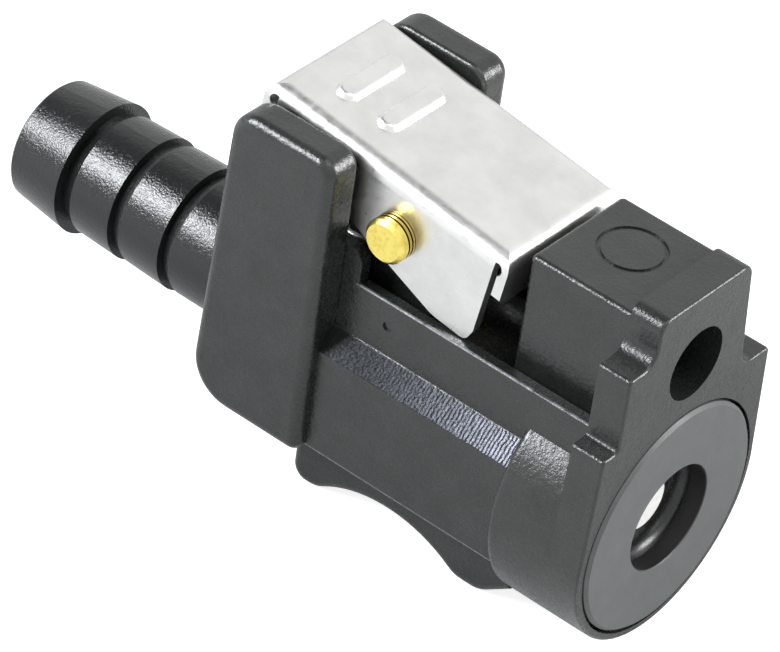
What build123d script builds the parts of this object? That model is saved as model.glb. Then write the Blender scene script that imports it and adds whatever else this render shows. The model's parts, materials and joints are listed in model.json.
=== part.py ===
from build123d import *
import os
from math import cos, radians, sin, tan

# Plastic quick disconnect coupling, hose-barb half with a sheet-steel thumb latch.
# X points out of the mating face, Z up to the latch. The origin is the centre of the
# fluid bore at the face of the front insert. All lengths are in millimetres.

# Front insert and its seal
fluid_bore_r = 4.3
insert_r = 9.3
insert_proud = 0.2
insert_flange = 1.5
insert_groove = 0.25
insert_edge = 0.25
hub_r = 7.6
hub_len = 3.5
gland_r = 5.45
seal_wire_r = 1.0
seal_squeeze = 0.04
press = 0.01
bore_lead_in = 0.08

# Front plate
plate_thick = 2.8
plate_r = 10.15
plate_side = 9.6
plate_floor_z = 10.35
near_step_y = 8.0
near_step_rise = 6.25
top_step_rise = 3.6
plate_corner_r = 0.4
plate_inner_r = 1.4
plate_top_r = 1.1
plate_far_foot = 6.3
plate_edge_r = 0.25

# Guide block behind the plate
block_len = 8.8
block_half = 5.2
block_drop = 0.7
block_edge_r = 0.45
guide_bore_r = 2.95
guide_z = 14.0
mark_y = 0.7
mark_r = 2.45
mark_width = 0.35
mark_depth = 0.15

# Collar round the socket
collar_len = 8.4
collar_edge_r = 0.6

# Valve barrel and main body
barrel_r = 8.2
chamber_r = 6.6
chamber_len = 19.0
body_len = 36.4
wall_half = 8.86
wall_top_z = 4.2
wall_low_z = -4.4
wall_edge_r = 0.4
cheek_edge_r = 0.2
tail_r = 6.0
cheek_half = 7.2
cheek_thick = 1.0
cheek_top_z = 10.4
rim_top_z = 13.2
rim_lead = 1.6
rim_corner_r = 1.2
rim_rear_r = 0.4
rear_wall = 1.8
cheek_mark_r = 0.38
cheek_mark_ahead = 0.9
cheek_mark_drop = 2.1

# Guard ears
ear_half_in = 7.0
ear_half_out = 10.0
ear_len = 10.6
ear_low_z = -4.9
ear_over_plate = 1.0
ear_rake = 1.2
ear_heel_r = 3.5
ear_toe_r = 0.8
ear_brow_r = 1.5
ear_crown_r = 2.2
ear_outer_r = 0.9
ear_inner_r = 0.4

# Finger grip
grip_half = 6.0
grip_low_z = -10.9
grip_nose = 2.6
grip_under_ear = 3.1
grip_rise = 2.15
grip_nose_rise = 1.8
grip_lobe = 2.4
grip_heel_r = 1.4
grip_lobe_r = 2.4
grip_edge_r = 0.8

# Hose barb
barb_tip_len = 5.15
barb_pitch = 4.97
barb_stem_len = 7.7
barb_tip_r = 4.95
barb_first_r = 5.5
barb_crest_r = 5.11
barb_land_r = 4.98
barb_root_r = 4.55
barb_rise = 1.1
barb_count = 3
barb_bore_r = 3.4
barb_lip_r = 0.25

# Latch pivot
pivot_ahead = 3.6
pivot_drop = 4.5
lug_r = 2.9
lug_outer = 5.1
lug_thick = 2.2
lug_web = 1.6
pin_r = 1.5
pin_head_r = 1.78
pin_head_len = 1.45
pin_groove = 0.16
pin_groove_depth = 0.2
pin_ring = 0.22
pin_tail_len = 0.7
pin_tail_r = 1.9
pin_edge = 0.3
pin_side_play = 0.06
pin_run_play = 0.05

# Steel latch lever, drawn in its own tilted frame about the pivot
lever_tilt = 8.0
sheet = 0.8
bend_r = 1.2
lever_half = 6.45
lever_top = 4.45
tab_gap = 1.18
lip_gap = 0.6
tab_low = 0.37
tab_corner = 0.6
notch_r = 2.0
lip_len = 2.5
slit = 0.45
relief_r = 0.5
flange_low = 4.2
flange_deep_len = 4.82
flange_rear = 0.85
flange_nose_r = 0.7
flange_knee_r = 3.0
flange_rear_r = 0.6
flange_chin = 1.2
flange_chin_r = 0.5
flange_lead = 0.4
rib_raise = 0.42
rib_width = 2.0
rib_slope = 35.0
rib_crown_r = 0.35
rib_reach = 3.4
rib_places = (-9.3, -5.4)

# Poppet valve
poppet_r = 5.0
poppet_nose_r = 2.25
poppet_nose_len = 1.4
poppet_nose_edge = 0.15
poppet_head = 1.65
poppet_stem_r = 2.2
poppet_gap = 0.03
poppet_fin_len = 4.6
poppet_fin_thick = 1.2
poppet_fin_play = 0.06
poppet_ring_in = 3.5
poppet_ring_out = 5.4
poppet_ring = 0.9
poppet_tail_r = 1.6
poppet_tail_len = 3.0
poppet_edge = 0.3
poppet_cone = 0.8
fin_count = 4

# Springs
valve_wire = 0.8
valve_coil_r = 4.4
valve_turns = 5
latch_wire = 0.6
latch_coil_r = 2.1
latch_turns = 6
end_turn_gap = 0.06
wire_sides = 8
latch_spring_behind = 6.65
latch_seat_r = 3.1
latch_seat_z = 9.0
spigot_play = 0.2
spigot_len = 1.8
spigot_edge = 0.4

# How far cutting tools run past the faces that they cut
overrun = 1.0

# Places that follow from the sizes above
plate_front = -insert_proud
plate_back = plate_front - plate_thick
near_step_z = plate_floor_z + near_step_rise
plate_top_z = near_step_z + top_step_rise
block_back = plate_back - block_len
block_top = plate_top_z - block_drop
collar_back = plate_front - collar_len
body_rear = plate_front - body_len
ear_front = body_rear + ear_len
ear_top_z = plate_top_z + ear_over_plate
grip_front_x = collar_back - grip_nose
grip_rear_x = ear_front - grip_under_ear
insert_back = -insert_flange - hub_len
seat_x = insert_back - chamber_len
pocket_half = cheek_half - cheek_thick
pocket_rear = body_rear + rear_wall
barb_end = body_rear - barb_stem_len - (barb_count - 1) * barb_pitch - barb_tip_len
seal_x = -insert_flange - seal_wire_r + seal_squeeze
seal_ring_r = gland_r - seal_wire_r + seal_squeeze
pivot_x = ear_front + pivot_ahead
pivot_z = plate_top_z - pivot_drop
lever_front = block_back - pivot_x - tab_gap
lever_rear = pivot_x - body_rear - lip_gap
latch_spring_x = pivot_x - latch_spring_behind
pivot_plane = Plane(
    origin=(pivot_x, 0, pivot_z),
    x_dir=(cos(radians(lever_tilt)), 0, -sin(radians(lever_tilt))),
    z_dir=(0, -1, 0),
)


def outline(*corners):
    """Closed face through corners given as (across, up, corner radius)."""
    points = [corner[:2] for corner in corners]
    radii = [corner[2] for corner in corners]
    return make_face(FilletPolyline(*points, radius=radii, close=True))


def side_slab(face, low_y, high_y):
    """A face drawn in X and Z, carried from one Y to the other."""
    return extrude(Plane.XZ.offset(-high_y) * face, high_y - low_y)


def end_slab(face, low_x, high_x):
    """A face drawn in Y and Z, carried from one X to the other."""
    return extrude(Plane.YZ.offset(low_x) * face, high_x - low_x)


def rod(radius, low_x, high_x, y=0.0, z=0.0):
    """A round bar along X."""
    return Location((0, y, z)) * end_slab(Circle(radius), low_x, high_x)


def turned(*points):
    """A solid of revolution about X from points (x, radius)."""
    return revolve(Plane.XZ * make_face(Polyline(*points, close=True)), Axis.X)


def block_between(low, high):
    """A square-edged block between two opposite corners."""
    size = [b - a for a, b in zip(low, high)]
    middle = [(a + b) / 2 for a, b in zip(low, high)]
    return Location(middle) * Box(*size)


def spring_wire(wire, coil_r, turns, length):
    """A coil along Z from zero, its end turns closed and ground flat.

    Each half turn is an arc in a slightly tilted plane, so the halves join smoothly.
    """
    wire_face = RegularPolygon(wire / 2, wire_sides)
    closed = (1 + end_turn_gap) * wire / 2
    open_halves = round(2 * (turns - 2))
    rises = [closed] * 2 + [(length - 4 * closed) / open_halves] * open_halves + [closed] * 2
    coil = None
    height = 0.0
    side = 1
    for rise in rises:
        start = (side * coil_r, 0, height)
        section = Plane(origin=start, z_dir=(0, side, 0)) * wire_face
        axis = Axis((0, 0, height + rise / 2), (side * rise / 2, 0, coil_r))
        half = revolve(section, axis, 180)
        coil = half if coil is None else coil + half
        height += rise
        side = -side
    reach = 2 * (coil_r + wire)
    return coil & (Location((0, 0, length / 2)) * Box(reach, reach, length))


def plate_outline():
    """Round at the foot, with a stepped guide tab standing on it."""
    tab = outline(
        (-plate_r, 0, 0),
        (-plate_side, plate_floor_z, plate_corner_r),
        (-near_step_y, plate_floor_z, plate_corner_r),
        (-near_step_y, near_step_z, plate_corner_r),
        (-block_half, near_step_z, plate_inner_r),
        (-block_half, plate_top_z, plate_top_r),
        (block_half, plate_top_z, plate_top_r),
        (plate_far_foot, plate_floor_z, plate_inner_r),
        (plate_side, plate_floor_z, plate_corner_r),
        (plate_r, 0, 0),
    )
    return Circle(plate_r) + tab


def body_section():
    """Eight-sided section of the main body, with its cheek walls."""
    shoulder = wall_half - cheek_half
    low = wall_half - grip_half
    right = [
        (grip_half, wall_low_z - low, 0),
        (wall_half, wall_low_z, wall_edge_r),
        (wall_half, wall_top_z, wall_edge_r),
        (cheek_half, wall_top_z + shoulder, 0),
        (cheek_half, cheek_top_z, cheek_edge_r),
    ]
    left = [(-y, z, r) for y, z, r in reversed(right)]
    return outline(*right, *left)


def core():
    """Main body, rounded under its tail."""
    low = wall_low_z - (wall_half - grip_half)
    side = outline(
        (body_rear, low, tail_r),
        (plate_back, low, 0),
        (plate_back, cheek_top_z, 0),
        (body_rear, cheek_top_z, 0),
    )
    solid = end_slab(body_section(), body_rear, plate_back)
    return solid & side_slab(side, -wall_half, wall_half)


def ear():
    """Guard ear beside the latch, on the far side."""
    side = outline(
        (body_rear, ear_low_z, ear_heel_r),
        (ear_front, ear_low_z, ear_toe_r),
        (ear_front, ear_top_z, ear_brow_r),
        (body_rear + ear_rake, ear_top_z, ear_crown_r),
    )
    solid = side_slab(side, ear_half_in, ear_half_out)
    solid = fillet(solid.faces().sort_by(Axis.Y)[-1].edges(), ear_outer_r)
    return fillet(solid.faces().sort_by(Axis.Y)[0].edges(), ear_inner_r)


def grip():
    """Finger saddle between two lobes under the barrel."""
    front = grip_front_x - grip_lobe
    rear = grip_rear_x + grip_lobe
    middle = ((front + rear) / 2, grip_low_z + grip_rise)
    edge = [
        Line((rear, grip_low_z), (grip_rear_x, grip_low_z)),
        Line((grip_rear_x, grip_low_z), (grip_rear_x, 0)),
        Line((grip_rear_x, 0), (collar_back, 0)),
        Line((collar_back, 0), (collar_back, grip_low_z + grip_nose_rise)),
        Line((collar_back, grip_low_z + grip_nose_rise), (grip_front_x, grip_low_z)),
        Line((grip_front_x, grip_low_z), (front, grip_low_z)),
        ThreePointArc((front, grip_low_z), middle, (rear, grip_low_z)),
    ]
    side = make_face(edge)
    feet = side.vertices().group_by(Axis.Y)[0].sort_by(Axis.X)
    side = fillet(feet[1:], grip_lobe_r)
    heel = side.vertices().group_by(Axis.Y)[0].sort_by(Axis.X)[0]
    side = fillet(heel, grip_heel_r)
    solid = side_slab(side, -grip_half, grip_half)
    flanks = solid.faces().sort_by(Axis.Y)
    edges = flanks[0].edges() + flanks[-1].edges()
    rims = [e for e in edges if e.center().Z < grip_low_z + grip_rise + grip_edge_r]
    return fillet(rims, grip_edge_r)


def barb():
    """Hose barb, one piece with the body."""
    points = [(barb_end, 0), (barb_end, barb_tip_r - barb_lip_r)]
    points += [(barb_end + barb_lip_r, barb_tip_r)]
    crest = barb_first_r
    shoulder = barb_end + barb_tip_len
    for _ in range(barb_count):
        points += [(shoulder, crest), (shoulder, barb_root_r)]
        points += [(shoulder + barb_rise, barb_land_r)]
        crest = barb_crest_r
        shoulder += barb_pitch
    root = body_rear + rear_wall
    points += [(root, barb_land_r), (root, 0)]
    return turned(*points)


def pivot_lugs():
    """Two lugs that carry the pin, tied by a web."""
    web_half = lug_outer - lug_thick / 2
    arch = outline(
        (pivot_x - lug_r, 0, 0),
        (pivot_x + lug_r, 0, 0),
        (pivot_x + lug_r, pivot_z, 0),
        (pivot_x - lug_r, pivot_z, 0),
    )
    arch += Location((pivot_x, pivot_z)) * Circle(lug_r)
    lugs = side_slab(arch, lug_outer - lug_thick, lug_outer)
    lugs += side_slab(arch, -lug_outer, lug_thick - lug_outer)
    web = block_between(
        (pivot_x - lug_web / 2, -web_half, 0),
        (pivot_x + lug_web / 2, web_half, pivot_z - lug_r),
    )
    return lugs + web


def rim_slab():
    """Raised rim of the cheeks beside and behind the latch spring."""
    side = outline(
        (body_rear, 0, 0),
        (ear_front + rim_lead, 0, 0),
        (ear_front + rim_lead, rim_top_z, rim_corner_r),
        (body_rear, rim_top_z, rim_rear_r),
    )
    return side_slab(side, -cheek_half, cheek_half)


def body():
    solid = end_slab(plate_outline(), plate_back, plate_front)
    solid = fillet(solid.faces().sort_by(Axis.X)[-1].edges(), plate_edge_r)
    collar = rod(plate_r, collar_back, plate_back)
    collar = fillet(collar.edges().sort_by(Axis.X)[0], collar_edge_r)
    shell = collar + core() + rim_slab() + grip()
    pocket = block_between(
        (pocket_rear, -pocket_half, 0),
        (plate_back, pocket_half, rim_top_z + cheek_top_z),
    )
    shell -= pocket - rod(barrel_r, body_rear, plate_back)
    block = block_between(
        (block_back, -block_half, 0), (plate_back, block_half, block_top)
    )
    top = block.faces().sort_by(Axis.Z)[-1].edges().sort_by(Axis.X)[:-1]
    back = block.faces().sort_by(Axis.X)[0].edges().filter_by(Axis.Z)
    block = fillet(top + back, block_edge_r)
    solid += shell + block + pivot_lugs()
    far_ear = ear()
    solid += far_ear + mirror(far_ear, Plane.XZ)
    solid += barb()
    seat = extrude(Location((latch_spring_x, 0, 0)) * Circle(latch_seat_r), latch_seat_z)
    spigot_r = latch_coil_r - latch_wire / 2 - spigot_play
    spigot = extrude(
        Location((latch_spring_x, 0, 0)) * Circle(spigot_r), latch_seat_z + spigot_len
    )
    solid += seat + chamfer(spigot.edges().sort_by(Axis.Z)[-1], spigot_edge)

    solid -= rod(insert_r + insert_groove, -insert_flange, overrun)
    solid -= rod(hub_r, insert_back, overrun)
    solid -= rod(chamber_r, seat_x, overrun)
    solid -= rod(barb_bore_r, barb_end - overrun, overrun)
    solid -= rod(guide_bore_r, block_back - overrun, overrun, z=guide_z)
    pin_hole = Plane.XZ * Location((pivot_x, pivot_z)) * Circle(pin_r)
    solid -= extrude(pin_hole, lug_outer, both=True)
    ring = Circle(mark_r + mark_width / 2) - Circle(mark_r - mark_width / 2)
    mark_x = (plate_back + block_back) / 2
    solid -= extrude(Location((mark_x, mark_y, block_top - mark_depth)) * ring, overrun)
    spot = Plane.XZ.offset(cheek_half - mark_depth)
    spot_place = Location((pivot_x + cheek_mark_ahead, cheek_top_z - cheek_mark_drop))
    spot = spot * spot_place * Circle(cheek_mark_r)
    return solid - extrude(spot, overrun)


def front_insert():
    """Flanged bush that closes the socket and holds the seal."""
    return turned(
        (0, fluid_bore_r + bore_lead_in),
        (0, insert_r - insert_edge),
        (-insert_edge, insert_r),
        (-insert_flange, insert_r),
        (-insert_flange, hub_r + press),
        (insert_back, hub_r + press),
        (insert_back, gland_r),
        (-insert_flange, gland_r),
        (-insert_flange, fluid_bore_r),
        (-bore_lead_in, fluid_bore_r),
    )


def nipple_seal():
    """O-ring that grips the mating nipple."""
    section = Location((seal_x, seal_ring_r)) * Circle(seal_wire_r)
    return revolve(Plane.XZ * section, Axis.X)


def poppet_front():
    return seal_x - seal_wire_r - poppet_gap


def poppet_rear():
    return insert_back - poppet_fin_len


def valve_poppet():
    """Poppet with a nose through the seal and guide fins that run in the barrel."""
    face = poppet_front()
    nose = face + poppet_nose_len
    rear = poppet_rear()
    solid = turned(
        (nose, 0),
        (nose, poppet_nose_r - poppet_nose_edge),
        (nose - poppet_nose_edge, poppet_nose_r),
        (face, poppet_nose_r),
        (face, poppet_r - poppet_edge),
        (face - poppet_edge, poppet_r),
        (face - poppet_head, poppet_r),
        (face - poppet_head - poppet_cone, poppet_stem_r),
        (rear, poppet_stem_r),
        (rear - poppet_tail_len, poppet_tail_r),
        (rear - poppet_tail_len, 0),
    )
    ring = rod(poppet_ring_out, rear, rear + poppet_ring)
    ring -= rod(poppet_ring_in, rear, rear + poppet_ring)
    fin = block_between(
        (rear, 0, -poppet_fin_thick / 2),
        (insert_back, chamber_r + overrun, poppet_fin_thick / 2),
    )
    fins = [Rotation(X=45 + i * 360 / fin_count) * fin for i in range(fin_count)]
    guide = rod(chamber_r - poppet_fin_play, rear, insert_back)
    for blade in fins:
        solid += blade & guide
    return solid + ring


def valve_spring():
    length = poppet_rear() - seat_x
    coil = spring_wire(valve_wire, valve_coil_r, valve_turns, length)
    return Location((seat_x, 0, 0)) * Rotation(Y=90) * coil


def lever_slab(face, half):
    """A face drawn in the lever's own frame, centred on the middle plane."""
    return extrude(pivot_plane * face, half, both=True)


def flange_outline():
    """Side flange, deepest beside the pivot's front."""
    rear = -lever_rear + sheet + slit
    front = lever_front - sheet - slit
    return outline(
        (rear, lever_top, 0),
        (rear, flange_rear, flange_rear_r),
        (lever_front - flange_deep_len, -flange_low, flange_knee_r),
        (front - flange_lead, -flange_low, flange_nose_r),
        (front, -flange_low + flange_chin, flange_chin_r),
        (front, lever_top, 0),
    )


def latch_lever():
    """Bent sheet-steel lever with a locking tab, rear lip and two pressed ribs."""
    low = -flange_low - overrun
    length = lever_front + lever_rear
    middle = (lever_front - lever_rear) / 2
    height = lever_top - low
    outer = Location((middle, lever_top - height / 2)) * Rectangle(length, height)
    inner = Location((middle, lever_top - sheet - height / 2)) * Rectangle(
        length - 2 * sheet, height
    )
    shell = lever_slab(outer, lever_half)
    top = shell.faces().sort_by(Axis.Z)[-1].edges()
    shell = fillet(top, bend_r)
    hollow = lever_slab(inner, lever_half - sheet)
    roof = hollow.faces().sort_by(Axis.Z)[-1].edges()
    shell -= fillet(roof, bend_r - sheet)

    # Trim the side walls to the flanges, clear of the tab and the lip
    tab_back = lever_front - sheet
    lip_front = -lever_rear + sheet
    bend_start = lever_top - bend_r
    trim = Location(((tab_back + lip_front) / 2, (bend_start + low - overrun) / 2)) * Rectangle(
        tab_back - lip_front, bend_start - low + overrun
    )
    for place in (lip_front + slit / 2, tab_back - slit / 2):
        trim += Location((place, bend_start)) * Circle(relief_r)
    shell -= lever_slab(trim - flange_outline(), lever_half + overrun)

    # Cut the tab and the lip to length, and notch the tab round the guide hole's axis
    wide = 2 * (sheet + slit)
    for end, foot in ((lever_front, tab_low), (-lever_rear, lever_top - lip_len)):
        below = Location((end, foot - height / 2)) * Rectangle(wide, height)
        shell -= lever_slab(below, lever_half + overrun)
    corners = [
        e
        for e in shell.edges().filter_by(Axis(pivot_plane.origin, pivot_plane.x_dir))
        if pivot_plane.to_local_coords(e.center()).X > tab_back
        and abs(pivot_plane.to_local_coords(e.center()).Y - tab_low) < 0.01
    ]
    shell = chamfer(corners, tab_corner)
    shell -= rod(notch_r, pivot_x, block_back, z=guide_z)

    # Pressed ribs, hollow underneath
    for place in rib_places:
        rib = Plane(
            origin=pivot_plane.from_local_coords(Vector(place, lever_top, 0)),
            x_dir=(0, 1, 0),
            z_dir=pivot_plane.y_dir,
        )
        pad = rib * SlotOverall(2 * rib_reach, rib_width)
        raised = extrude(pad, rib_raise, taper=rib_slope)
        shell += fillet(raised.faces().sort_by(Axis.Z)[-1].edges(), rib_crown_r)
        under = rib.offset(-sheet) * SlotOverall(2 * rib_reach - sheet, rib_width - sheet)
        shell -= extrude(under, rib_raise)
    hole = Circle(pin_r + pin_run_play)
    return shell - lever_slab(hole, lever_half + overrun)


def pivot_pin():
    """Turned brass pin, headed on the near side and staked on the far side."""
    start = lever_half + pin_side_play
    groove_r = pin_head_r - pin_groove_depth
    head = start + pin_head_len
    tail = start + pin_tail_len
    ring_low = start + pin_groove
    ring_high = ring_low + pin_ring
    points = [
        (tail, 0),
        (tail, pin_tail_r - pin_edge),
        (tail - pin_edge, pin_tail_r),
        (start, pin_tail_r),
        (start, pin_r),
        (-start, pin_r),
        (-start, pin_head_r),
        (-ring_low, pin_head_r),
        (-ring_low, groove_r),
        (-ring_low - pin_groove, groove_r),
        (-ring_low - pin_groove, pin_head_r),
        (-ring_high - pin_groove, pin_head_r),
        (-ring_high - pin_groove, groove_r),
        (-ring_high - 2 * pin_groove, groove_r),
        (-ring_high - 2 * pin_groove, pin_head_r),
        (-head + pin_edge, pin_head_r),
        (-head, pin_head_r - pin_edge),
        (-head, 0),
    ]
    face = make_face(Polyline(*points, close=True))
    return Location((pivot_x, 0, pivot_z)) * revolve(
        Plane(origin=(0, 0, 0), x_dir=(0, 1, 0), z_dir=(1, 0, 0)) * face, Axis.Y
    )


def lever_underside(x):
    """Height of the lever's underside above a place along X."""
    slope = tan(radians(lever_tilt))
    along = cos(radians(lever_tilt))
    return pivot_z + (lever_top - sheet) / along - (x - pivot_x) * slope


def latch_spring():
    """Coil under the rear of the lever, its top end ground to the lever's slope."""
    high = lever_underside(latch_spring_x - latch_coil_r - latch_wire)
    coil = spring_wire(latch_wire, latch_coil_r, latch_turns, high - latch_seat_z)
    coil = Location((latch_spring_x, 0, latch_seat_z)) * coil
    depth = 4 * lever_top
    below = Location((-lever_top, lever_top - sheet - depth / 2)) * Rectangle(depth, depth)
    return coil & lever_slab(below, lever_half)


parts = {
    "body": body,
    "front_insert": front_insert,
    "nipple_seal": nipple_seal,
    "valve_poppet": valve_poppet,
    "valve_spring": valve_spring,
    "latch_lever": latch_lever,
    "pivot_pin": pivot_pin,
    "latch_spring": latch_spring,
}

os.makedirs("parts", exist_ok=True)
for name, make in parts.items():
    export_step(make(), f"parts/{name}.step")
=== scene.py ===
import json
from math import cos, pi, radians, sin, tan

import bpy
import bmesh
from mathutils import Matrix, Vector


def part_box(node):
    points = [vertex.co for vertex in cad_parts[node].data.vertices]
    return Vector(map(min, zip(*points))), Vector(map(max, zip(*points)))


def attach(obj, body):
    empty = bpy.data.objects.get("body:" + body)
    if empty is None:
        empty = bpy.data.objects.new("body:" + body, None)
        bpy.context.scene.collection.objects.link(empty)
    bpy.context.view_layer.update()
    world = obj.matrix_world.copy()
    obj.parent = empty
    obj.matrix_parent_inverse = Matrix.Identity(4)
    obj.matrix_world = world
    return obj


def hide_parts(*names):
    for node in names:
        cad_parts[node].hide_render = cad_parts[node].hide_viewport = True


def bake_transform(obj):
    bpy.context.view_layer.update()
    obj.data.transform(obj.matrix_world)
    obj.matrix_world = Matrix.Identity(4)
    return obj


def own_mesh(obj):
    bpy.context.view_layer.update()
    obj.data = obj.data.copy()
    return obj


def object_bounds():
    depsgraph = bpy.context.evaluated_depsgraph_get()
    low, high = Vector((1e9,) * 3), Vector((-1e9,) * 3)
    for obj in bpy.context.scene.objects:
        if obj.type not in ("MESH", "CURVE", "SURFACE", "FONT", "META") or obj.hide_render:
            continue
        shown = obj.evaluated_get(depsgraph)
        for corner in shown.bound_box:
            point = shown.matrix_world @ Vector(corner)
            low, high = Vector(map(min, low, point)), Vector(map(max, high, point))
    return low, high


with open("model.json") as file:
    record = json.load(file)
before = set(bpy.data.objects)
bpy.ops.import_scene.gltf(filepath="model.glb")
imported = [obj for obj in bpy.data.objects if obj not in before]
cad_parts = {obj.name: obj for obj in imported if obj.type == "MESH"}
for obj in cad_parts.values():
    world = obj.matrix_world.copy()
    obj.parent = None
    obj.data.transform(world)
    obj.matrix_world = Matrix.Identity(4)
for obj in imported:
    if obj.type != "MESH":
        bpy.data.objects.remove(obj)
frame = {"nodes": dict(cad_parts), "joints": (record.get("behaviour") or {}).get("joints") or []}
cad_low, cad_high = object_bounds()
nodes = frame["nodes"]
scene = bpy.context.scene

# Lengths are in metres, and mm turns a size on the object into them
mm = 0.001

body_low, body_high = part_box("body")
pin_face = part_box("pivot_pin")[0][1]
pivot = Vector(frame["joints"][0]["pos_m"])

# Places on the body that its grain follows
ear_front = body_high.x - 26.0 * mm
collar_back = body_high.x - 8.4 * mm
barb_front = body_low.x + 22.0 * mm
bevel_low = 4.3 * mm
bevel_high = 5.75 * mm
bevel_out = 8.9 * mm
comb_pitch = 0.3 * mm
wall_low = -4.4 * mm
wall_out = 8.4 * mm
cheek_top = 10.4 * mm
cheek_out = 7.05 * mm

# Places on the insert and the pin
bore_r = 4.3 * mm
pin_head_r = 1.78 * mm
pin_ring_pitch = 0.09 * mm


# ---------------------------------------------------------------- materials

class Shader:
    """A Principled material built from a short chain of nodes in object coordinates."""

    def __init__(self, name, color, roughness, metallic=0.0, **inputs):
        self.material = bpy.data.materials.new(name)
        self.material.use_nodes = True
        self.tree = self.material.node_tree
        self.surface = self.tree.nodes["Principled BSDF"]
        self.place = self.new("ShaderNodeTexCoord").outputs["Object"]
        self.height = None
        self.set(color, "Base Color")
        self.surface.inputs["Roughness"].default_value = roughness
        self.surface.inputs["Metallic"].default_value = metallic
        for key, value in inputs.items():
            self.surface.inputs[key.replace("_", " ")].default_value = value

    def new(self, kind, **settings):
        node = self.tree.nodes.new(kind)
        for key, value in settings.items():
            setattr(node, key, value)
        return node

    def link(self, source, target):
        self.tree.links.new(source, target)

    def set(self, color, key):
        self.surface.inputs[key].default_value = (*color, 1.0)

    def noise(self, size, detail=2.0, roughness=0.5, stretch=(1, 1, 1)):
        """Noise with features of about the given size, in metres."""
        place = self.new("ShaderNodeMapping")
        place.inputs["Scale"].default_value = stretch
        self.link(self.place, place.inputs["Vector"])
        node = self.new("ShaderNodeTexNoise")
        node.inputs["Scale"].default_value = 1.0 / size
        node.inputs["Detail"].default_value = detail
        node.inputs["Roughness"].default_value = roughness
        self.link(place.outputs["Vector"], node.inputs["Vector"])
        return node.outputs["Fac"]

    def cells(self, size):
        node = self.new("ShaderNodeTexVoronoi")
        node.inputs["Scale"].default_value = 1.0 / size
        self.link(self.place, node.inputs["Vector"])
        return node.outputs["Distance"]

    def span(self, value, low, high, out_low=0.0, out_high=1.0):
        node = self.new("ShaderNodeMapRange")
        node.inputs["From Min"].default_value = low
        node.inputs["From Max"].default_value = high
        node.inputs["To Min"].default_value = out_low
        node.inputs["To Max"].default_value = out_high
        self.link(value, node.inputs["Value"])
        return node.outputs["Result"]

    def math(self, operation, first, second=None):
        node = self.new("ShaderNodeMath", operation=operation)
        for slot, value in enumerate((first, second)):
            if value is None:
                continue
            if isinstance(value, (int, float)):
                node.inputs[slot].default_value = value
            else:
                self.link(value, node.inputs[slot])
        return node.outputs["Value"]

    def axis(self, letter):
        node = self.new("ShaderNodeSeparateXYZ")
        self.link(self.place, node.inputs["Vector"])
        return node.outputs[letter]

    def from_axis(self, first, second, origin=(0.0, 0.0)):
        """Distance from a line that runs along the third axis."""
        squares = []
        for letter, place in zip((first, second), origin):
            away = self.math("SUBTRACT", self.axis(letter), place)
            squares.append(self.math("MULTIPLY", away, away))
        return self.math("SQRT", self.math("ADD", *squares))

    def within(self, letter, low, high, fade):
        """One between two places along an axis, zero a fade's width outside them."""
        along = self.axis(letter)
        rise = self.span(along, low - fade, low)
        return self.math("MULTIPLY", rise, self.span(along, high, high + fade, 1.0, 0.0))

    def all_of(self, *masks):
        result = masks[0]
        for mask in masks[1:]:
            result = self.math("MULTIPLY", result, mask)
        return result

    def ramp(self, value, *stops):
        node = self.new("ShaderNodeValToRGB")
        ramp = node.color_ramp
        while len(ramp.elements) < len(stops):
            ramp.elements.new(0.5)
        for element, (place, color) in zip(ramp.elements, stops):
            element.position = place
            element.color = (*color, 1.0)
        self.link(value, node.inputs["Fac"])
        return node.outputs["Color"]

    def mix(self, amount, first, second):
        node = self.new("ShaderNodeMix", data_type="RGBA")
        sockets = {s.identifier: s for s in node.inputs}
        if isinstance(amount, (int, float)):
            sockets["Factor_Float"].default_value = amount
        else:
            self.link(amount, sockets["Factor_Float"])
        for key, value in (("A_Color", first), ("B_Color", second)):
            if isinstance(value, tuple):
                sockets[key].default_value = (*value, 1.0)
            else:
                self.link(value, sockets[key])
        return [s for s in node.outputs if s.identifier == "Result_Color"][0]

    def color(self, value):
        self.link(value, self.surface.inputs["Base Color"])

    def roughness(self, value):
        self.link(value, self.surface.inputs["Roughness"])

    def bump(self, value, depth):
        """Adds relief whose full swing is the given depth, in metres."""
        node = self.new("ShaderNodeBump")
        node.inputs["Distance"].default_value = depth
        self.link(value, node.inputs["Height"])
        if self.height is not None:
            self.link(self.height, node.inputs["Normal"])
        self.height = node.outputs["Normal"]
        self.link(self.height, self.surface.inputs["Normal"])


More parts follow.
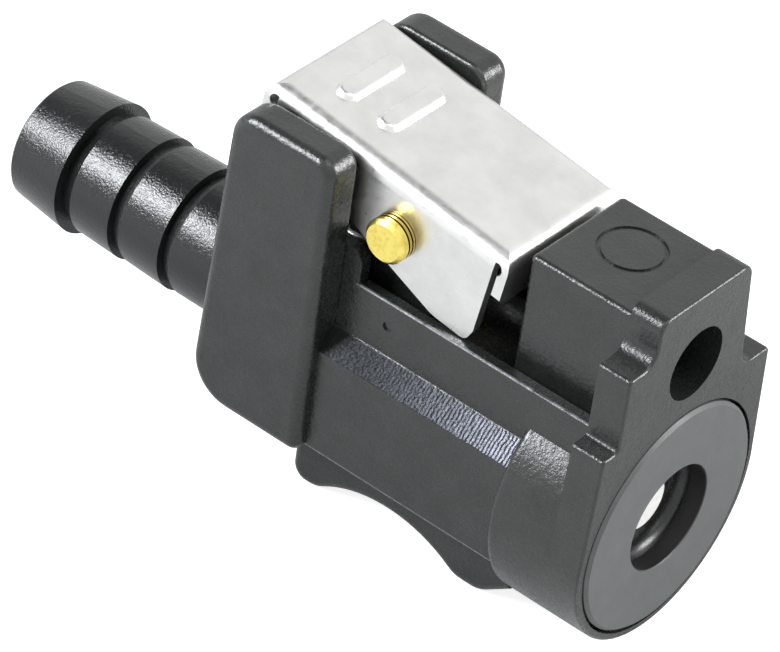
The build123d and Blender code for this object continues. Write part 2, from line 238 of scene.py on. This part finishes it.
def body_plastic():
    """Black moulded plastic: satin walls, a combed and pitted bevel, a glossy barb, painted highlight
    lines on two edges.
    """
    s = Shader("body_plastic", (0.020, 0.021, 0.021), 0.36, IOR=1.57)
    cloud = s.noise(2.6 * mm, 4, 0.6)
    fine = s.noise(0.16 * mm, 2, 0.6)
    pits = s.noise(0.34 * mm, 3, 0.65)
    waves = s.noise(0.9 * mm, 3, 0.6)
    side = s.math("ABSOLUTE", s.axis("Y"))
    barb = s.span(s.axis("X"), barb_front, barb_front + 1.2 * mm, 1.0, 0.0)
    bevel = s.all_of(
        s.within("Z", bevel_low, bevel_high, 0.1 * mm),
        s.within("X", ear_front, collar_back, 0.1 * mm),
        s.span(side, bevel_out, bevel_out + 0.1 * mm, 1.0, 0.0),
    )
    ahead = s.span(s.axis("X"), ear_front + 3 * mm, collar_back)

    # Painted highlight: pale lines along the walls' lower edge and the cheeks' top edge, in place of
    # glints, broken up by noise
    sill = s.all_of(
        s.within("Z", wall_low - 0.22 * mm, wall_low + 0.02 * mm, 0.08 * mm),
        s.within("X", ear_front, collar_back, 0.1 * mm),
        s.span(side, wall_out - 0.1 * mm, wall_out),
    )
    brim = s.all_of(
        s.within("Z", cheek_top - 0.10 * mm, cheek_top, 0.05 * mm),
        s.within("X", ear_front + 1.6 * mm, collar_back + 5.5 * mm, 0.1 * mm),
        s.span(side, cheek_out - 0.1 * mm, cheek_out),
    )
    glint_breakup = s.span(s.noise(0.9 * mm, 3, 0.6), 0.30, 0.55)
    painted_edge_glint = s.math("MULTIPLY", s.math("MAXIMUM", sill, brim), glint_breakup)

    shade = s.math("ADD", s.span(cloud, 0.3, 0.7, 0.0, 0.6), s.span(fine, 0.3, 0.7, 0.0, 0.4))
    black = s.ramp(shade, (0.1, (0.013, 0.015, 0.014)), (0.9, (0.025, 0.028, 0.026)))
    black = s.mix(barb, black, (0.010, 0.011, 0.011))
    # Painted highlight lines mixed into the base colour
    s.color(s.mix(painted_edge_glint, black, (0.17, 0.18, 0.19)))
    satin = s.span(pits, 0.3, 0.7, 0.18, 0.32)
    s.roughness(s.math("SUBTRACT", satin, s.math("MULTIPLY", barb, 0.06)))
    s.bump(s.math("MULTIPLY", fine, s.math("ADD", barb, 1.0)), 0.016 * mm)
    s.bump(pits, 0.030 * mm)
    s.bump(s.math("MULTIPLY", waves, s.math("SUBTRACT", 1.0, barb)), 0.024 * mm)

    # Cutter marks across the bevel, stronger towards the collar, over coarse pits
    wander = s.noise(1.2 * mm, 3, 0.6)
    teeth = s.math("MULTIPLY", s.axis("X"), 2 * pi / comb_pitch)
    teeth = s.math("ADD", teeth, s.math("MULTIPLY", wander, 9.0))
    comb = s.all_of(s.math("SINE", teeth), bevel, ahead)
    s.bump(comb, 0.008 * mm)
    s.bump(s.all_of(s.cells(0.28 * mm), bevel), 0.020 * mm)
    glossier = s.math("POWER", ahead, 2.0)
    dull = s.math("MULTIPLY", bevel, s.span(glossier, 0.0, 1.0, -0.44, 0.08))
    s.link(s.math("ADD", dull, 0.5), s.surface.inputs["Specular IOR Level"])
    s.link(s.mix(bevel, (1.0, 1.0, 1.0), (0.82, 0.84, 1.0)), s.surface.inputs["Specular Tint"])
    return s.material


def insert_plastic():
    """Smoother mid-grey plastic, with painted shade making its bore wall near-black."""
    s = Shader("insert_plastic", (0.105, 0.105, 0.108), 0.46)
    cloud = s.noise(1.8 * mm, 4, 0.6)
    fine = s.noise(0.12 * mm, 2, 0.6)
    face = s.mix(s.span(cloud, 0.3, 0.7), (0.080, 0.086, 0.086), (0.098, 0.104, 0.104))
    # Painted shade: the bore wall is coloured near-black, as shade falls in the deep bore
    painted_bore_shade = s.span(s.from_axis("Y", "Z"), bore_r + 0.02 * mm, bore_r + 0.10 * mm, 1.0, 0.0)
    s.color(s.mix(painted_bore_shade, face, (0.008, 0.008, 0.008)))
    s.roughness(s.span(fine, 0.3, 0.7, 0.40, 0.55))
    s.bump(fine, 0.008 * mm)
    return s.material


def seal_rubber():
    s = Shader("seal_rubber", (0.010, 0.011, 0.011), 0.3)
    fine = s.noise(0.2 * mm, 3, 0.6)
    s.roughness(s.span(fine, 0.3, 0.7, 0.24, 0.38))
    s.bump(fine, 0.004 * mm)
    return s.material


def poppet_plastic():
    s = Shader("poppet_plastic", (0.72, 0.72, 0.70), 0.4)
    fine = s.noise(0.5 * mm, 3, 0.6)
    s.color(s.mix(s.span(fine, 0.3, 0.7), (0.68, 0.68, 0.66), (0.76, 0.76, 0.74)))
    s.bump(fine, 0.006 * mm)
    return s.material


def latch_steel():
    """Tumbled stainless sheet: soft rolled grain, small dents and scratches."""
    s = Shader("latch_steel", (0.80, 0.80, 0.79), 0.34, metallic=1.0)
    rolled = s.noise(0.22 * mm, 3, 0.6, (0.12, 1.0, 1.0))
    tumbled = s.noise(0.8 * mm, 4, 0.65)
    clouds = s.noise(3.0 * mm, 4, 0.6)
    nicks = s.noise(0.5 * mm, 2, 0.5, (1.0, 0.25, 1.0))
    s.color(s.mix(s.span(clouds, 0.35, 0.65), (0.73, 0.73, 0.71), (0.82, 0.82, 0.80)))
    grain = s.math("ADD", s.span(tumbled, 0.3, 0.7, 0.24, 0.36), s.span(rolled, 0.3, 0.7, 0.0, 0.06))
    s.roughness(grain)
    s.bump(tumbled, 0.016 * mm)
    s.bump(rolled, 0.006 * mm)
    s.bump(s.span(nicks, 0.68, 0.74), 0.006 * mm)
    return s.material


def pin_brass():
    """Turned brass, pale yellow on its face, browner towards the flange, with painted shade near-black in
    its grooves.
    """
    s = Shader("pin_brass", (0.95, 0.78, 0.19), 0.3, metallic=1.0)
    radius = s.from_axis("X", "Z", (pivot.x, pivot.z))
    blotch = s.noise(0.5 * mm, 4, 0.6)
    fresh = s.ramp(s.span(blotch, 0.3, 0.7), (0.0, (0.86, 0.62, 0.10)), (0.6, (0.97, 0.82, 0.22)))
    # Painted shade: the bottoms of the grooves are coloured near-black brown
    grooved = s.within("Y", pin_face + 0.5 * mm, pin_face + 1.4 * mm, 0.02 * mm)
    painted_groove_shade = s.all_of(grooved, s.span(radius, pin_head_r - 0.04 * mm, pin_head_r - 0.01 * mm, 1.0, 0.0))
    # Browner towards the flange
    near_flange = s.within("Y", pin_face + 0.9 * mm, pin_face + 1.6 * mm, 0.1 * mm)
    browned = s.mix(s.math("MULTIPLY", near_flange, 0.6), fresh, (0.42, 0.27, 0.10))
    s.color(s.mix(painted_groove_shade, browned, (0.07, 0.03, 0.01)))
    rings = s.math("SINE", s.math("MULTIPLY", radius, 2 * pi / pin_ring_pitch))
    s.roughness(s.span(blotch, 0.3, 0.7, 0.26, 0.40))
    s.bump(rings, 0.0015 * mm)
    s.bump(blotch, 0.010 * mm)
    return s.material


def spring_steel():
    s = Shader("spring_steel", (0.62, 0.62, 0.62), 0.3, metallic=1.0)
    drawn = s.noise(0.12 * mm, 3, 0.6)
    s.roughness(s.span(drawn, 0.3, 0.7, 0.22, 0.38))
    s.bump(drawn, 0.003 * mm)
    return s.material


def dress(node, material):
    mesh = nodes[node].data
    mesh.materials.clear()
    mesh.materials.append(material)


# ---------------------------------------------------------------- springs

def coil_spring(name, wire, coil_r, turns, place, turn, top):
    """Round-wire coil from its seat, with closed ends ground flat.

    top gives the height of the far end above a place across the coil.
    """
    around, steps = 14, 48
    closed = 0.53 * wire
    length = top(0.0)
    open_rise = (length - 4 * closed) / (2 * turns - 4)
    centres = []
    height = 0.0
    for half in range(2 * turns):
        rise = open_rise if 2 <= half < 2 * turns - 2 else closed
        for step in range(steps):
            angle = pi * (half + step / steps)
            level = height + rise * step / steps
            centres.append(Vector((coil_r * cos(angle), coil_r * sin(angle), level)))
        height += rise
    centres.append(Vector((coil_r, 0.0, height)))
    grid = bmesh.new()
    rings = []
    for index, centre in enumerate(centres):
        before, after = centres[max(index - 1, 0)], centres[min(index + 1, len(centres) - 1)]
        along = (after - before).normalized()
        out = Vector((centre.x, centre.y, 0.0)).normalized()
        up = along.cross(out)
        ring = []
        for corner in range(around):
            angle = 2 * pi * corner / around
            point = centre + wire / 2 * (cos(angle) * out + sin(angle) * up)
            point.z = min(max(point.z, 0.0), top(point.x))
            ring.append(grid.verts.new(point))
        rings.append(ring)
    for first, second in zip(rings, rings[1:]):
        for corner in range(around):
            other = (corner + 1) % around
            face = grid.faces.new((first[corner], first[other], second[other], second[corner]))
            face.smooth = True
    grid.faces.new(rings[0])
    grid.faces.new(reversed(rings[-1]))
    bmesh.ops.recalc_face_normals(grid, faces=grid.faces)
    mesh = bpy.data.meshes.new(name)
    grid.to_mesh(mesh)
    grid.free()
    mesh.transform(Matrix.Translation(place) @ turn)
    mesh.materials.append(steel_wire)
    piece = bpy.data.objects.new(name, mesh)
    scene.collection.objects.link(piece)
    return piece


def make_latch_spring():
    """Coil under the rear of the lever, its top end ground to the lever's slope.
    """
    low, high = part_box("latch_spring")
    seat = Vector((pivot.x - latch_spring_behind, 0.0, low[2]))
    slope = tan(radians(lever_tilt))
    under = pivot.z + lever_inner / cos(radians(lever_tilt)) + latch_spring_behind * slope - low[2]
    spring = coil_spring(
        "latch_spring_wire", latch_wire, latch_coil_r, latch_turns, seat, Matrix.Identity(4),
        lambda across: under - across * slope,
    )
    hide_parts("latch_spring")
    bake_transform(spring)


def make_valve_spring():
    """Coil behind the poppet, along the barrel."""
    low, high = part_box("valve_spring")
    seat = Vector((low[0], 0.0, 0.0))
    spring = coil_spring(
        "valve_spring_wire", valve_wire, valve_coil_r, valve_turns, seat,
        Matrix.Rotation(pi / 2, 4, "Y"), lambda across: high[0] - low[0],
    )
    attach(spring, "housing")
    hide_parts("valve_spring")
    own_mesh(spring)


latch_wire = 0.6 * mm
latch_coil_r = 2.1 * mm
latch_turns = 6
latch_spring_behind = 6.65 * mm
lever_inner = 3.65 * mm
lever_tilt = 8.0
valve_wire = 0.8 * mm
valve_coil_r = 4.4 * mm
valve_turns = 5

steel_wire = spring_steel()
dress("body", body_plastic())
dress("front_insert", insert_plastic())
dress("nipple_seal", seal_rubber())
dress("valve_poppet", poppet_plastic())
dress("latch_lever", latch_steel())
dress("pivot_pin", pin_brass())
dress("valve_spring", steel_wire)
dress("latch_spring", steel_wire)
make_latch_spring()
make_valve_spring()


# ---------------------------------------------------------------- camera

sensor_mm = 36.0
lens_mm = 264.6508
camera_place = Vector((160.775, -270.004, 259.156)) * mm
camera_azimuth = radians(34.708)
camera_roll = radians(8.481)
camera_back = Vector((0.44811, -0.64696, 0.61695))


def make_camera():
    """Camera at the height, turn and roll from which the coupling is usually shown."""
    data = bpy.data.cameras.new("camera")
    data.sensor_width = sensor_mm
    data.lens = lens_mm
    data.clip_start = 0.01
    data.clip_end = 10.0
    camera = bpy.data.objects.new("camera", data)
    scene.collection.objects.link(camera)
    level = Vector((cos(camera_azimuth), sin(camera_azimuth), 0.0))
    upright = camera_back.cross(level)
    right = cos(camera_roll) * level + sin(camera_roll) * upright
    up = -sin(camera_roll) * level + cos(camera_roll) * upright
    turn = Matrix((right, up, camera_back)).transposed()
    camera.matrix_world = Matrix.Translation(camera_place) @ turn.to_4x4()
    scene.camera = camera


# ---------------------------------------------------------------- studio

def area_light(name, aim, direction, distance, size, power):
    """Square softbox that faces a place on the coupling from a direction."""
    data = bpy.data.lights.new(name, "AREA")
    data.shape = "SQUARE"
    data.size = size
    data.energy = power
    lamp = bpy.data.objects.new(name, data)
    scene.collection.objects.link(lamp)
    out = Vector(direction).normalized()
    lamp.location = Vector(aim) + out * distance
    lamp.rotation_euler = out.to_track_quat("Z", "Y").to_euler()
    return lamp


def make_world():
    """White room, dim for diffuse light, with a dark ceiling gap in reflections."""
    world = bpy.data.worlds.new("studio")
    scene.world = world
    world.use_nodes = True
    tree = world.node_tree

    def math_node(operation, first, second):
        node = tree.nodes.new("ShaderNodeMath")
        node.operation = operation
        for slot, value in enumerate((first, second)):
            if isinstance(value, float):
                node.inputs[slot].default_value = value
            else:
                tree.links.new(value, node.inputs[slot])
        return node.outputs[0]

    paths = tree.nodes.new("ShaderNodeLightPath")
    direction = tree.nodes.new("ShaderNodeTexCoord")
    toward = tree.nodes.new("ShaderNodeVectorMath")
    toward.operation = "DOT_PRODUCT"
    toward.inputs[1].default_value = ceiling_gap
    tree.links.new(direction.outputs["Generated"], toward.inputs[0])
    gap = tree.nodes.new("ShaderNodeMapRange")
    gap.interpolation_type = "SMOOTHSTEP"
    gap.inputs["From Min"].default_value = cos(radians(gap_outer))
    gap.inputs["From Max"].default_value = cos(radians(gap_inner))
    gap.inputs["To Min"].default_value = world_glossy
    gap.inputs["To Max"].default_value = ceiling_dark
    tree.links.new(toward.outputs["Value"], gap.inputs["Value"])

    mirrored = math_node("MULTIPLY", paths.outputs["Is Glossy Ray"], gap.outputs["Result"])
    plain = math_node("SUBTRACT", 1.0, paths.outputs["Is Glossy Ray"])
    diffuse = math_node("MULTIPLY", plain, world_fill)
    seen = math_node("MAXIMUM", paths.outputs["Is Camera Ray"], paths.outputs["Is Transmission Ray"])
    strength = math_node("MAXIMUM", seen, math_node("ADD", mirrored, diffuse))
    back = tree.nodes["Background"]
    back.inputs["Color"].default_value = (1.0, 1.0, 1.0, 1.0)
    tree.links.new(strength, back.inputs["Strength"])


def make_floor():
    """Pale floor under the finger saddle, lifted to white where the camera sees it."""
    mesh = bpy.data.meshes.new("floor")
    grid = bmesh.new()
    bmesh.ops.create_grid(grid, x_segments=2, y_segments=2, size=1.5)
    grid.to_mesh(mesh)
    grid.free()
    floor = bpy.data.objects.new("floor", mesh)
    floor.location.z = cad_low[2] - 0.02 * mm
    scene.collection.objects.link(floor)
    material = bpy.data.materials.new("floor_paper")
    material.use_nodes = True
    tree = material.node_tree
    surface = tree.nodes["Principled BSDF"]
    surface.inputs["Base Color"].default_value = (0.72, 0.72, 0.72, 1.0)
    surface.inputs["Roughness"].default_value = 0.9
    surface.inputs["Specular IOR Level"].default_value = 0.0
    surface.inputs["Emission Color"].default_value = (1.0, 1.0, 1.0, 1.0)
    paths = tree.nodes.new("ShaderNodeLightPath")
    seen = tree.nodes.new("ShaderNodeMath")
    seen.operation = "MULTIPLY"
    seen.inputs[1].default_value = floor_lift
    tree.links.new(paths.outputs["Is Camera Ray"], seen.inputs[0])
    tree.links.new(seen.outputs[0], surface.inputs["Emission Strength"])
    mesh.materials.append(material)


world_fill = 0.30
world_glossy = 1.0
ceiling_gap = Vector((-0.51, -0.10, 0.85)).normalized()
ceiling_dark = 0.25
gap_inner = 20.0
gap_outer = 40.0
floor_lift = 0.85

make_camera()
make_world()
make_floor()
middle = (Vector(cad_low) + Vector(cad_high)) / 2
key = area_light("key_softbox", middle, (-0.59, -0.58, 0.56), 0.5, 0.20, 3.2)
key.data.color = (0.93, 0.96, 1.0)
front_floor = Vector((cad_high[0] + 12 * mm, 10 * mm, -5 * mm))
area_light("front_panel", front_floor, (0.72, 0.50, 0.42), 0.4, 0.20, 2.0)
area_light("top_panel", middle, (0.35, -0.20, 0.90), 0.5, 0.25, 0.4)

scene.view_settings.view_transform = "Standard"
